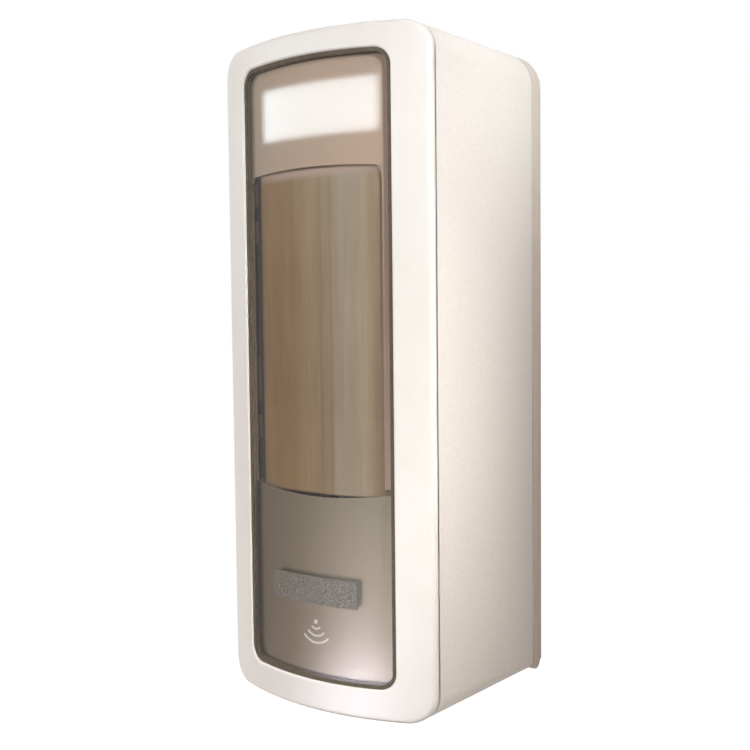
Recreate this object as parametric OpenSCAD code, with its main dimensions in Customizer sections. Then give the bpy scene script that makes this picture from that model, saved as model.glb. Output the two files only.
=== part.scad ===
// Touch-free wall soap dispenser: hinged cover with a smoked front panel over a refill bottle,
// a geared pump drive, a battery box and a sensor. X is to the right, the user stands on the -Y side,
// the wall is the plane y = 0, and the origin is the centre of the four wall screws.

/* [Housing] */
// Width of the housing
body_w = 112; // [110:1:116]
// Height of the front outline
body_h = 291; // [288:1:296]
// Depth from the wall to the crown of the front
body_d = 107; // [106:0.5:112]
// How far the front crown stands ahead of the front's side edges
front_crown = 12.4; // [11:0.1:13.5]
// How much the top climbs from the front edge to the wall
top_rise = 3; // [2:0.5:4]
// Wall thickness of the cover
wall = 2.6; // [2.2:0.1:3]
// Depth of the back plate's rim
rim_d = 8.3; // [8:0.1:9]

/* [Front panel] */
// Half width of the window opening
win_half_w = 40; // [39:0.5:41]
// Height of the window opening's top edge
win_top = 135.3; // [134:0.1:136]
// Height of the window opening's bottom edge
win_bottom = -132.3; // [-134:0.1:-131]
// Corner radius of the window opening
win_r = 7.5; // [6:0.5:9]
// How deep the smoked panel lies behind the bezel's face
panel_recess = 1.2; // [1:0.1:1.5]
// Thickness of the smoked panel
panel_t = 2; // [1.6:0.1:2.2]
// Height of the lowest point of the grey mask's top edge
mask_top = -52.4; // [-54:0.1:-50]

/* [Badge and sign] */
// Width of the bare badge plate
badge_w = 46; // [40:1:50]
// Height of the bare badge plate
badge_h = 12; // [10:0.5:14]
// Height of the badge plate's centre
badge_z = -92.8; // [-95:0.1:-90]
// Height of the sign's dot
sign_z = -107.4; // [-110:0.1:-105]

/* [Refill] */
// Half width of the refill bottle
bottle_half_w = 36; // [34:0.5:36.5]
// Top of the refill bottle
bottle_top = 89.4; // [84:0.1:89.5]
// Underside of the refill bottle
bottle_bottom = -51.7; // [-51.9:0.1:-50]
// Level of the soap in the bottle
soap_level = 80; // [20:1:82]

/* [Pump and drive] */
// Lift of the pump carriage
stroke = 8; // [6:0.5:8]
// Teeth of the output pinion that lifts the rack
rack_pinion_teeth = 16; // [16:1:16]
// Teeth of the output wheel
output_teeth = 36; // [36:1:36]
// Teeth of the idler's small pinion
idler_pinion_teeth = 12; // [12:1:12]
// Teeth of the idler wheel
idler_teeth = 40; // [40:1:40]
// Teeth of the motor pinion
motor_teeth = 12; // [12:1:12]

/* [Cover hinge and latch] */
// Height of the hinge axis
hinge_z = -141.5; // [-141.5:0.1:-141.5]
// Distance of the hinge axis from the wall
hinge_d = 4.5; // [4.5:0.1:4.6]
// Travel of the latch button
latch_travel = 3; // [2.5:0.5:3]

/* [Wall fixing] */
// Distance between the wall screws across
screw_pitch_x = 96; // [95:1:97]
// Distance between the wall screws up and down
screw_pitch_z = 200; // [180:1:210]
// Diameter of the wall screw holes
screw_hole_d = 4.8; // [4:0.1:5.5]

/* [Hidden] */
$fn = 64;
half_w = body_w / 2;
half_h = body_h / 2;
edge_d = body_d - front_crown;                       // depth of the front's side edges
crown_r = (half_w * half_w + front_crown * front_crown) / (2 * front_crown);
edge_bow = 1;                                        // bow of the top and bottom edges
part_y = edge_d - 3.1;                               // depth of the groove behind the bezel
seam = 0.6;                                          // width of that groove
shell_front = part_y - seam;
shell_back = rim_d + 0.4;
gap = 0.3;                                           // free space between separate bodies
arc_steps = 16;
sheet = 0.5;                                         // thickness of a lofting slice

// Share of the way from the front edge back to the wall.
function back_share(depth) = 1 - depth / edge_d;
// Quarter circle about (cx, cz), starting at angle a0.
function quarter(cx, cz, r, a0) =
  [for (k = [0:arc_steps]) [cx + r * cos(a0 + 90 * k / arc_steps), cz + r * sin(a0 + 90 * k / arc_steps)]];
// Points along a gently bowed edge from x = xa to x = xb, crown at height z.
function bowed(xa, xb, z, bow, hw) =
  [for (k = [1:5]) let(x = xa + (xb - xa) * k / 6) [x, z - bow * pow(x / hw, 2)]];
// Upright rounded outline with bowed top and bottom edges.
function outline(hw, zb, zt, rb, rt, bow) =
  let(
    dt = bow * pow((hw - rt) / hw, 2),
    db = bow * pow((hw - rb) / hw, 2)
  ) concat(
    quarter(hw - rb, zb + db + rb, rb, -90),
    quarter(hw - rt, zt - dt - rt, rt, 0),
    bowed(hw - rt, rt - hw, zt, bow, hw),
    quarter(rt - hw, zt - dt - rt, rt, 90),
    quarter(rb - hw, zb + db + rb, rb, 180),
    bowed(rb - hw, hw - rb, zb, -bow, hw)
  );
// Section of the housing, drawn in by inset, at a share of the way back to the wall.
function section(inset, share) =
  outline(half_w - inset, -half_h + inset, half_h + top_rise * share - inset,
    max(12 - 8 * share - inset, 1.5), max(12 + 6 * share - inset, 1.5), edge_bow);
function window(inset) =
  outline(win_half_w - inset, win_bottom + inset, win_top - inset, win_r - inset, win_r - inset, edge_bow);
function rounded(hw, z0, z1, r) = outline(hw, z0, z1, r, r, 0);

// Extrusion of an upright outline from depth d0 to depth d1.
module upright(points, d0, d1) {
  translate([0, -d0, 0]) rotate([90, 0, 0]) linear_extrude(d1 - d0) polygon(points);
}
// Solid housing block between two depths, drawn in by inset.
module housing(inset, d0, d1) {
  hull() {
    upright(section(inset, back_share(d0)), d0, d0 + sheet);
    upright(section(inset, back_share(d1)), d1 - sheet, d1);
  }
}
// Everything behind the crowned front face, drawn in by inset.
module crown(inset) {
  translate([0, crown_r - body_d, -200]) cylinder(r = crown_r - inset, h = 400, $fn = 120);
}
// Curved sheet that follows the front face, between two insets.
module crowned_sheet(points, inset0, inset1) {
  intersection() {
    upright(points, cut_near, cut_far);
    difference() {
      crown(inset0);
      crown(inset1);
    }
  }
}
module block(x0, x1, d0, d1, z0, z1) {
  translate([x0, -d1, z0]) cube([x1 - x0, d1 - d0, z1 - z0]);
}
// Cylinder along the depth, from depth d0 to depth d1.
module depth_rod(x, z, r, d0, d1) {
  translate([x, -d0, z]) rotate([90, 0, 0]) cylinder(r = r, h = d1 - d0);
}
module cross_rod(d, z, r, x0, x1) {
  translate([x0, -d, z]) rotate([0, 90, 0]) cylinder(r = r, h = x1 - x0);
}
module post(x, d, r, z0, z1) {
  translate([x, -d, z0]) cylinder(r = r, h = z1 - z0);
}
module both_sides() {
  children();
  mirror([1, 0, 0]) children();
}

// ---- Back plate and hinge
ear_x0 = 44;
ear_x1 = 50;
pin_r = 1.6;
bar_r = 3.9;
plate_t = 3;
screw_boss_r = 4.2;
// Depth range and length that cutters through the front part run over.
cut_near = 60;
cut_far = 120;
cutter_h = 150;
arc_faces = 200;
catch_z = 137;

module back_plate() color("whitesmoke") {
  difference() {
    union() {
      difference() {
        housing(0, 0, rim_d);
        intersection() {
          housing(wall, plate_t, rim_d + 1);
          block(-60, 60, plate_t, rim_d + 2, hinge_z + 3.7, 160);
        }
        block(-60, 60, -1, rim_d + 1, -half_h - 1, hinge_z);
      }
      cross_rod(hinge_d, hinge_z, bar_r, -half_w + 0.4, half_w - 0.4);
      for (sx = [-1, 1], sz = [-1, 1])
        depth_rod(sx * screw_pitch_x / 2, sz * screw_pitch_z / 2, screw_boss_r, plate_t - 0.5, 5);
      block(-10, 10, plate_t - 0.5, 12, catch_z, catch_z + 2.5);
      block(-10, 10, 10, 12, catch_z - 3.5, catch_z + 1);
      for (sx = [-1, 1]) block(sx * 9 - 1, sx * 9 + 1, plate_t - 0.5, 9.5, catch_z - 8, catch_z + 1);
    }
    for (sx = [-1, 1], sz = [-1, 1])
      depth_rod(sx * screw_pitch_x / 2, sz * screw_pitch_z / 2, screw_hole_d / 2, -1, 8);
    both_sides() block(ear_x0 - 0.5, ear_x1 + 0.5, -1, rim_d + 2, -half_h - 1, hinge_z + 5);
    both_sides() cross_rod(hinge_d, hinge_z, pin_r + 0.02, ear_x0 - 4, half_w - 1.9);
  }
}
module hinge_pins() color("silver")
  both_sides() cross_rod(hinge_d, hinge_z, pin_r, ear_x0 - 3.5, half_w - 2);

// ---- Chassis that carries the pump drive
pump_d = 60;
deck_z = -54.5;
deck_t = 2.5;
floor_z = -135;
floor_t = 2.5;
side_x = 43.5;
side_t = 2;
chassis_front = 86;
rod_x = -19;
rod_r = 2;
rod_depths = [47.5, 72.5];
neck_slot_r = 16.2;

module drive_chassis() color([0.36, 0.37, 0.38]) {
  difference() {
    union() {
      block(-side_x, side_x, plate_t + 0.1, chassis_front, deck_z, deck_z + deck_t);
      block(-side_x, side_x, plate_t + 0.1, chassis_front, floor_z - floor_t, floor_z);
      both_sides() block(side_x - side_t, side_x, plate_t + 0.1, chassis_front, floor_z - 1, deck_z + 1);
      both_sides() block(side_x - 10, side_x - 1, plate_t + 0.1, plate_t + 2.1, -76, -62);
      both_sides() block(side_x - 10, side_x - 1, plate_t + 0.1, plate_t + 2.1, -128, -114);
    }
    post(0, pump_d, neck_slot_r, deck_z - 1, deck_z + 4);
    block(-neck_slot_r, neck_slot_r, pump_d, chassis_front + 1, deck_z - 1, deck_z + 4);
    post(0, pump_d, 8, floor_z - 4, floor_z + 1);
    block(-8, 8, 73, 80, floor_z - 4, floor_z + 1);
    both_sides() for (z = [-121, -69]) depth_rod(side_x - 5.5, z, 1.6, 2, 8);
    both_sides() for (z = [-120, -100, -80]) block(side_x - 3, side_x + 1, 30, 70, z, z + 8);
  }
}
module chassis_screws() color("silver") both_sides() for (z = [-121, -69]) {
  depth_rod(side_x - 5.5, z, 1.5, plate_t + 0.2, 5.2);
  depth_rod(side_x - 5.5, z, 3, 5.2, 7.2);
}
module guide_rods() color("silver") for (d = rod_depths) post(rod_x, d, rod_r, floor_z, deck_z);

// ---- Cradle around the refill bottle
cradle_x = 39.4;
cradle_t = 2;
cradle_front = 95.5;
cradle_back = 31.5;
cradle_top = 85;
cradle_slots = [[68.4, 75.5], [8.3, 58], [-19.3, -12.5], [-48, -30.2]];

module bottle_cradle() color([0.42, 0.42, 0.41]) {
  difference() {
    union() {
      both_sides()
        block(cradle_x - cradle_t, cradle_x, cradle_back, cradle_front, deck_z + deck_t, cradle_top);
      block(-cradle_x, cradle_x, cradle_back, cradle_back + cradle_t, deck_z + deck_t, cradle_top);
      for (sx = [-1, 1], z = [-38, 66]) depth_rod(sx * 28, z, 4, plate_t + 0.1, cradle_back + 1);
    }
    both_sides() for (s = cradle_slots) block(cradle_x - 3, cradle_x + 1, 86, cradle_front + 1, s[0], s[1]);
    for (z = [-30, 15]) block(-22, 22, cradle_back - 1, cradle_back + 3, z, z + 30);
  }
}

// ---- Refill bottle, soap and pump
bottle_back = 34.5;
bottle_front = 102;
bottle_corner_r = 4;
bottle_inset = 5.2;
bottle_wall = 1.5;
shoulder_r = 3.5;
neck_r = 12.5;
neck_z = -64;
piston_r = 6;
cylinder_bottom = -96;
flange_z = -109;
flange_t = 3;
yoke_t = 3;
yoke_z = flange_z - flange_t - yoke_t;

// Bottle-shaped solid, drawn in by inset: its outlines from above, from the front and from the side meet.
module bottle_body(inset) {
  mid_d = (bottle_back + bottle_front) / 2;
  half_deep = (bottle_front - bottle_back) / 2 - inset;
  low = bottle_bottom + inset;
  high = bottle_top - inset;
  r = shoulder_r - inset / 2;
  intersection() {
    translate([0, -mid_d, low]) linear_extrude(high - low)
      polygon(rounded(bottle_half_w - inset, -half_deep, half_deep, bottle_corner_r));
    upright(rounded(bottle_half_w - inset, low, high, r), 20, 120);
    translate([-60, 0, 0]) rotate([90, 0, 90]) linear_extrude(120)
      polygon([for (p = rounded(half_deep, low, high, r)) [p[0] - mid_d, p[1]]]);
    crown(bottle_inset + inset);
  }
}
module refill_bottle() color([0.62, 0.54, 0.42, 0.6]) {
  difference() {
    union() {
      bottle_body(0);
      post(0, pump_d, neck_r, neck_z, bottle_bottom + 2);
    }
    bottle_body(bottle_wall);
    post(0, pump_d, neck_r - 2, neck_z - 1, bottle_bottom + 4);
  }
}
module liquid_soap() color([0.75, 0.55, 0.3]) {
  union() {
    intersection() {
      bottle_body(bottle_wall + 0.1);
      block(-40, 40, 30, 110, -60, soap_level);
    }
    post(0, pump_d, neck_r - 2.1, neck_z + 0.2, bottle_bottom + 5);
  }
}
module pump_collar() color("white") {
  difference() {
    union() {
      post(0, pump_d, 15.2, -67, -55);
      for (a = [0:12:348])
        translate([0, -pump_d, 0]) rotate([0, 0, a]) translate([15.1, -0.6, -66]) cube([0.5, 1.2, 10]);
    }
    post(0, pump_d, neck_r + 0.1, -65, -54);
    post(0, pump_d, 9.1, -68, -64);
  }
}
module pump_cylinder() color([0.9, 0.9, 0.88]) {
  difference() {
    union() {
      post(0, pump_d, 9, cylinder_bottom, -64.5);
      post(0, pump_d, neck_r - 0.1, -64.9, -64.1);
    }
    post(0, pump_d, piston_r + 0.06, cylinder_bottom - 1, -69);
    post(0, pump_d, 2.5, -70, -64);
  }
}
module pump_piston() color([0.85, 0.86, 0.88]) {
  difference() {
    post(0, pump_d, piston_r, flange_z, -78.5);
    post(0, pump_d, 1.8, flange_z - 1, -78);
  }
}
module spout_nozzle() color([0.25, 0.26, 0.27]) {
  translate([0, -pump_d, 0]) rotate_extrude() polygon([
    [1.8, flange_z], [9, flange_z], [9, flange_z - flange_t], [5.6, flange_z - flange_t], [5.6, -128],
    [4.2, -131], [3.4, -141], [1.5, -141], [1.5, -130], [1.8, -128]
  ]);
}

// Round-wire compression spring on a vertical axis: rings of points swept along a helix.
module coil(x, d, r, wire, z0, z1, turns) {
  sides = 8;
  steps = round(turns * 20);
  function ring(k) =
    let(a = 360 * turns * k / steps, z = z0 + wire + (z1 - z0 - 2 * wire) * k / steps)
    [for (j = [0:sides - 1]) let(b = 360 * j / sides, rr = r + wire * cos(b))
      [rr * cos(a), rr * sin(a), z + wire * sin(b)]];
  points = [for (k = [0:steps]) each ring(k)];
  walls = [for (k = [0:steps - 1], j = [0:sides - 1])
    let(a = k * sides + j, b = k * sides + (j + 1) % sides) [a, b, b + sides, a + sides]];
  start = [[for (j = [sides - 1:-1:0]) j]];
  end = [[for (j = [0:sides - 1]) steps * sides + j]];
  translate([x, -d, 0]) polyhedron(points, concat(walls, start, end));
}
module pump_spring() color("silver") coil(0, pump_d, 7.4, 0.6, flange_z + 0.1, cylinder_bottom - 0.1, 4);

// ---- Gears: pressure angle 25 degrees, stub teeth, thinned for backlash
pressure_angle = 25;
stub = 0.8;
backlash = 0.12;
flank_steps = 3;
mod_rack = 1;
mod_output = 0.75;
mod_motor = 0.5;
rack_pitch_x = 19;
output_x = rack_pitch_x + mod_rack * rack_pinion_teeth / 2;
output_z = -92;
centre_output = mod_output * (output_teeth + idler_pinion_teeth) / 2;
idler_x = output_x - 2.5;
idler_z = output_z + sqrt(centre_output * centre_output - 2.5 * 2.5);
centre_motor = mod_motor * (idler_teeth + motor_teeth) / 2;
motor_x = idler_x - 12.5;
motor_z = idler_z - sqrt(centre_motor * centre_motor - 12.5 * 12.5);
axle_r = 1.5;
layer_rack = [47, 52];
layer_output = [41.5, 45.5];
layer_motor = [36.5, 39.5];
plate_back = [33.5, 35.5];
plate_front = [53.5, 55.5];

// Roll angle, in degrees, of the involute at radius r on base radius rb.
function involute(rb, r) = let(t = sqrt(max(r * r / (rb * rb) - 1, 0))) t * 180 / PI - atan(t);
// One flank's half angle at radius r, for a tooth of half angle h at the pitch radius rp.
function flank(rb, rp, h, r) = h + involute(rb, rp) - involute(rb, max(r, rb));
// Gear outline with a tooth centred on angle turn: root, flank, tip, flank and root of each tooth.
function gear_points(m, n, turn) =
  let(
    rp = m * n / 2,
    rb = rp * cos(pressure_angle),
    ra = rp + stub * m,
    rr = rp - (stub + 0.3) * m,
    low = max(rb, rr),
    h = 90 / n - backlash / 2 / rp * 180 / PI,
    foot = min(flank(rb, rp, h, low) + 12 / n, 180 / n - 6 / n),
    radii = [for (k = [0:flank_steps]) low + 0.02 + (ra - low - 0.02) * k / flank_steps]
  ) [for (i = [0:n - 1]) each let(c = turn + 360 * i / n) concat(
      [[rr * cos(c - foot), rr * sin(c - foot)]],
      [for (k = [0:flank_steps]) let(a = c - flank(rb, rp, h, radii[k]))
        [radii[k] * cos(a), radii[k] * sin(a)]],
      [for (k = [flank_steps:-1:0]) let(a = c + flank(rb, rp, h, radii[k]))
        [radii[k] * cos(a), radii[k] * sin(a)]],
      [[rr * cos(c + foot), rr * sin(c + foot)]]
    )];
// Gear on a depth axis at (x, z), between the two depths of a layer.
module gear(m, n, turn, x, z, layer) {
  translate([x, -layer[0], z]) rotate([90, 0, 0])
    linear_extrude(layer[1] - layer[0]) polygon(gear_points(m, n, turn));
}
// Angle, seen from the front, from the axis (xa, za) to the axis (xb, zb).
function bearing(xa, za, xb, zb) = atan2(zb - za, xb - xa);
to_idler = bearing(output_x, output_z, idler_x, idler_z);
to_motor = bearing(idler_x, idler_z, motor_x, motor_z);

module output_gear() color([0.93, 0.9, 0.8]) {
  difference() {
    union() {
      gear(mod_rack, rack_pinion_teeth, 180, output_x, output_z, [layer_output[1], layer_rack[1]]);
      gear(mod_output, output_teeth, to_idler, output_x, output_z, layer_output);
      depth_rod(output_x, output_z, 3.5, plate_back[1] + gap, layer_output[0]);
      depth_rod(output_x, output_z, 3.5, layer_rack[1], plate_front[0] - gap);
    }
    depth_rod(output_x, output_z, axle_r + 0.05, 30, 60);
    for (a = [0:60:300])
      translate([output_x, 0, output_z]) rotate([0, a, 0]) translate([-output_x, 0, -output_z])
      depth_rod(output_x + 8.9 + 2, output_z, 1.2, layer_output[0] - 1, layer_output[1] - 1.6);
  }
}
module output_axle() color("silver") depth_rod(output_x, output_z, axle_r, plate_back[0], plate_front[1]);
module idler_gear() color([0.93, 0.9, 0.8]) {
  difference() {
    union() {
      gear(mod_output, idler_pinion_teeth, to_idler + 180 + 180 / idler_pinion_teeth, idler_x, idler_z,
        [layer_motor[1], layer_output[1]]);
      gear(mod_motor, idler_teeth, to_motor, idler_x, idler_z, layer_motor);
      depth_rod(idler_x, idler_z, 2.6, plate_back[1] + gap, layer_motor[0]);
      depth_rod(idler_x, idler_z, 2.6, layer_output[1], plate_front[0] - gap);
    }
    depth_rod(idler_x, idler_z, axle_r + 0.05, 30, 60);
  }
}
module idler_axle() color("silver") depth_rod(idler_x, idler_z, axle_r, plate_back[0], plate_front[1]);
module motor_pinion() color("goldenrod") {
  union() {
    gear(mod_motor, motor_teeth, to_motor + 180 + 180 / motor_teeth, motor_x, motor_z,
      [layer_motor[0] - 0.4, layer_motor[1] + 0.4]);
    depth_rod(motor_x, motor_z, 1, 33, 42);
  }
}
module drive_motor() color("silver") {
  difference() {
    union() {
      intersection() {
        depth_rod(motor_x, motor_z, 10.2, 9, 33);
        block(motor_x - 12, motor_x + 12, 8, 34, motor_z - 7.6, motor_z + 7.6);
      }
      depth_rod(motor_x, motor_z, 3, 33, 34.5);
      depth_rod(motor_x, motor_z, 3, 7.6, 9);
    }
    depth_rod(motor_x, motor_z, 1.05, 32.8, 36);
  }
}
// Carriage: yoke under the nozzle's flange, guided on two rods, with the rack on its right.
module pump_carriage() color([0.3, 0.42, 0.5]) {
  rack_root = rack_pitch_x - (stub + 0.3) * mod_rack;
  rack_tip = rack_pitch_x + stub * mod_rack;
  pitch = PI * mod_rack;
  half_root = pitch / 4 - backlash / 2 + (rack_pitch_x - rack_root) * tan(pressure_angle);
  half_tip = pitch / 4 - backlash / 2 - (rack_tip - rack_pitch_x) * tan(pressure_angle);
  difference() {
    union() {
      block(rod_x - 4, 18, pump_d - 14, pump_d + 14.5, yoke_z, yoke_z + yoke_t);
      block(rack_root - 3.4, rack_root, layer_rack[0], layer_rack[1], yoke_z, -84);
      block(9, rack_root, layer_rack[0], pump_d, yoke_z, yoke_z + 6);
      for (k = [-4:1]) translate([0, -layer_rack[0], output_z + pitch / 2 + k * pitch]) rotate([90, 0, 0])
        linear_extrude(layer_rack[1] - layer_rack[0])
        polygon([[rack_root - 0.5, -half_root], [rack_root, -half_root], [rack_tip, -half_tip],
          [rack_tip, half_tip], [rack_root, half_root], [rack_root - 0.5, half_root]]);
      for (d = rod_depths) post(rod_x, d, 4, yoke_z, yoke_z + 12);
    }
    post(0, pump_d, 6, yoke_z - 1, yoke_z + 5);
    post(0, pump_d, 9.4, yoke_z + yoke_t, yoke_z + 12);
    for (d = rod_depths) post(rod_x, d, rod_r + 0.05, yoke_z - 1, yoke_z + 14);
  }
}
plate_points = [[20.5, -113], [side_x - side_t - 0.1, -113], [side_x - side_t - 0.1, -61], [18, -61], [18, -82],
  [20.5, -82]];
pillar_places = [[38, -65], [38, -109], [23.6, -110]];

module gearbox_plate() color([0.75, 0.76, 0.78]) {
  difference() {
    union() {
      upright(concat([[0.5, -92], [20, -92], [20, -113]], [for (k = [1:2]) plate_points[k]], [[0.5, -61]]),
        plate_back[0], plate_back[1]);
      for (z = [-86, -100])
        block(34, side_x - side_t - 0.1, plate_t + 0.1, plate_back[1] - 1, z - 3, z + 3);
    }
    depth_rod(motor_x, motor_z, 3.1, 30, 36);
    depth_rod(idler_x, idler_z, axle_r, 30, 36);
    depth_rod(output_x, output_z, axle_r, 30, 36);
    for (a = [90, 270]) depth_rod(motor_x + 6 * cos(a), motor_z + 6 * sin(a), 1, 30, 36);
  }
}
module gearbox_cover() color([0.75, 0.76, 0.78, 0.9]) {
  difference() {
    upright(plate_points, plate_front[0], plate_front[1]);
    depth_rod(idler_x, idler_z, axle_r, 50, 57);
    depth_rod(output_x, output_z, axle_r, 50, 57);
    for (p = pillar_places) depth_rod(p[0], p[1], 1.2, 50, 57);
  }
}
module gearbox_pillars() color("silver") for (p = pillar_places) {
  depth_rod(p[0], p[1], 2.3, plate_back[1], plate_front[0]);
  depth_rod(p[0], p[1], 1.15, plate_front[0], plate_front[1]);
  depth_rod(p[0], p[1], 2.2, plate_front[1], plate_front[1] + 1.4);
}

// ---- Electronics
board_x = [-32, -1];
board_z = [-128, -66];
board_d = [14, 15.6];
board_holes = [[-29, -125], [-4, -125], [-29, -69], [-4, -69]];

module circuit_board() color("darkgreen") {
  difference() {
    block(board_x[0], board_x[1], board_d[0], board_d[1], board_z[0], board_z[1]);
    for (p = board_holes) depth_rod(p[0], p[1], 1.6, 10, 20);
  }
}
module board_standoffs() color("white") for (p = board_holes) {
  depth_rod(p[0], p[1], 3, plate_t + 0.1, board_d[0]);
  depth_rod(p[0], p[1], 1.5, board_d[0], board_d[1]);
  depth_rod(p[0], p[1], 2.6, board_d[1], board_d[1] + 1.6);
}
module board_parts() color([0.15, 0.15, 0.16]) {
  front = board_d[1];
  block(-25, -13, front, front + 2.2, -104, -92);
  block(-29, -19, front, front + 7, -84, -78);
  block(-14, -5, front, front + 7, -84, -78);
  depth_rod(-7.5, -94, 3.2, front, front + 11);
  depth_rod(-7.5, -104, 3.2, front, front + 11);
  block(-29, -22, front, front + 4, -118, -112);
  for (k = [0:5]) block(-18 + 2.6 * k, -16.4 + 2.6 * k, front, front + 0.9, -116, -114);
}
module sensor_board() color("darkgreen") block(-12, 12, 70, 83, floor_z, floor_z + 1.4);
module sensor_diodes() color([0.1, 0.1, 0.12]) for (sx = [-1, 1]) {
  post(sx * 4.8, 76.5, 2.5, -139.4, floor_z);
  translate([sx * 4.8, -76.5, -139.4]) sphere(r = 2.5, $fn = 48);
}
module sensor_lens() color([0.12, 0.07, 0.09]) block(-9.4, 9.4, 72.6, 80.4, -145, -142.8);

shroud_x = 23.5;
shroud_d = [40.5, 84.5];
module outlet_shroud() color([0.3, 0.3, 0.31]) {
  difference() {
    block(-shroud_x, shroud_x, shroud_d[0], shroud_d[1], -145, floor_z - floor_t);
    block(-shroud_x + 2, shroud_x - 2, shroud_d[0] + 2, shroud_d[1] - 2, -142.7, floor_z);
    post(0, pump_d, 8, -146, -140);
    block(-9.5, 9.5, 72.5, 80.5, -146, -142);
  }
}

// ---- Battery box in the upper part
cell_r = 7.2;
cell_l = 50.5;
cell_rows = [98.7, 113.3];
cell_depths = [12.6, 28.2];
box_x = 31;
box_d = 36.5;
box_z = [89.6, 122.4];
lid_axis = [38.2, 91.6];

module battery_box() color("whitesmoke") {
  difference() {
    union() {
      block(-box_x, box_x, plate_t + 0.1, box_d, box_z[0], box_z[1]);
      both_sides() block(box_x + 1.2, box_x + 3.4, 33, 40.2, box_z[0], 94.2);
      both_sides() block(box_x - 1, box_x + 3.4, 33, 35.5, box_z[0], 94.2);
    }
    block(-box_x + 1.8, box_x - 1.8, plate_t + 1.9, box_d + 1, box_z[0] + 1.7, box_z[1] - 1.7);
    both_sides() cross_rod(lid_axis[0], lid_axis[1], 1.26, box_x - 2, box_x + 5);
  }
}
module battery_cells() color([0.2, 0.45, 0.3]) for (z = cell_rows, d = cell_depths) {
  cross_rod(d, z, cell_r, -cell_l / 2 + 1, cell_l / 2);
  cross_rod(d, z, 2.7, cell_l / 2, cell_l / 2 + 1);
}
module battery_contacts() color("silver") for (z = cell_rows, d = cell_depths) {
  block(-box_x + 1.9, -box_x + 2.4, d - 6, d + 6, z - 6, z + 6);
  cross_rod(d, z, 4, -box_x + 2.4, -cell_l / 2 + 0.9);
  block(cell_l / 2 + 1.1, cell_l / 2 + 1.6, d - 6, d + 6, z - 6, z + 6);
}
module battery_lid() color("white") {
  difference() {
    union() {
      block(-box_x, box_x, box_d + 0.4, box_d + 2.4, 91.2, box_z[1]);
      cross_rod(lid_axis[0], lid_axis[1], 1.3, -box_x, box_x);
      cross_rod(lid_axis[0], lid_axis[1], 1.2, -box_x - 3, box_x + 3);
      block(-6, 6, box_d + 2.3, box_d + 3.6, 117, 119);
    }
    block(-8, 8, box_d + 1.7, box_d + 3, 106, 114);
  }
}

// ---- Cover: shell, bezel and front panel
latch_x = 11;
latch_d = [15, 32];
opening_gap = 0.5;
screw_post_x = 48.5;
screw_post_z = [-134, 133];

module cover_shell() color("white") {
  difference() {
    union() {
      difference() {
        housing(0, shell_back, shell_front);
        housing(wall, shell_back - 1, shell_front + 1);
      }
      both_sides() {
        cross_rod(hinge_d, hinge_z, 3.4, ear_x0, ear_x1);
        block(ear_x0, ear_x1, hinge_d, 17, hinge_z - 2.6, hinge_z + 2);
        for (z = screw_post_z)
          block(screw_post_x - 3.5, half_w - wall + 0.5, 74, shell_front - 6, z - 3.5, z + 3.5);
      }
      block(-latch_x - 1.8, latch_x + 1.8, latch_d[0] - 1.8, latch_d[1] + 1.8, 139, half_h + 0.2);
      both_sides() block(latch_x + 0.3, latch_x + 1.8, 20, latch_d[1] + 1.8, 133.5, 140);
      block(-latch_x - 1.8, latch_x + 1.8, 20, latch_d[1] + 1.8, 133.5, 135.3);
    }
    block(-latch_x - 0.3, latch_x + 0.3, latch_d[0] - 0.3, latch_d[1] + 0.3, 135.3, 150);
    block(-shroud_x - opening_gap, shroud_x + opening_gap, shroud_d[0] - opening_gap, shroud_d[1] + opening_gap,
      -half_h - 1, -half_h + 6);
    both_sides() cross_rod(hinge_d, hinge_z, pin_r + 0.06, ear_x0 - 1, ear_x1 + 1);
    both_sides() for (z = screw_post_z) depth_rod(screw_post_x, z, 1.6, 70, 90);
  }
}
module front_bezel() color("white") {
  difference() {
    union() {
      difference() {
        intersection() {
          upright(section(0, 0), part_y, 120);
          crown(0);
        }
        intersection() {
          upright(section(wall + 0.4, 0), part_y - 1, 120);
          crown(3);
        }
      }
      difference() {
        upright(section(wall + 0.15, 0), shell_front - 4, part_y + 0.5);
        upright(section(wall + 2, 0), shell_front - 5, part_y + 1);
      }
      both_sides() for (z = screw_post_z)
        depth_rod(screw_post_x, z, 3.2, shell_front - 5.9, edge_d);
    }
    upright(window(0), cut_near, cut_far);
    both_sides() for (z = screw_post_z) depth_rod(screw_post_x, z, 1.2, 80, edge_d - 2);
  }
}
module bezel_screws() color("silver") both_sides() for (z = screw_post_z) {
  depth_rod(screw_post_x, z, 2.6, 72.4, 74);
  depth_rod(screw_post_x, z, 1.15, 74, edge_d - 2.2);
}
module front_panel() color([0.6, 0.56, 0.5, 0.55])
  crowned_sheet(window(1.6), panel_recess, panel_recess + panel_t);
module panel_gasket() color([0.2, 0.19, 0.16]) {
  difference() {
    crowned_sheet(window(0.05), 0.9, panel_recess + panel_t);
    upright(window(1.55), cut_near, cut_far);
  }
}
module panel_retainer() color([0.22, 0.21, 0.19]) {
  difference() {
    crowned_sheet(window(-4), 3.3, 4.7);
    upright(window(1.8), cut_near, cut_far);
  }
}
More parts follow.
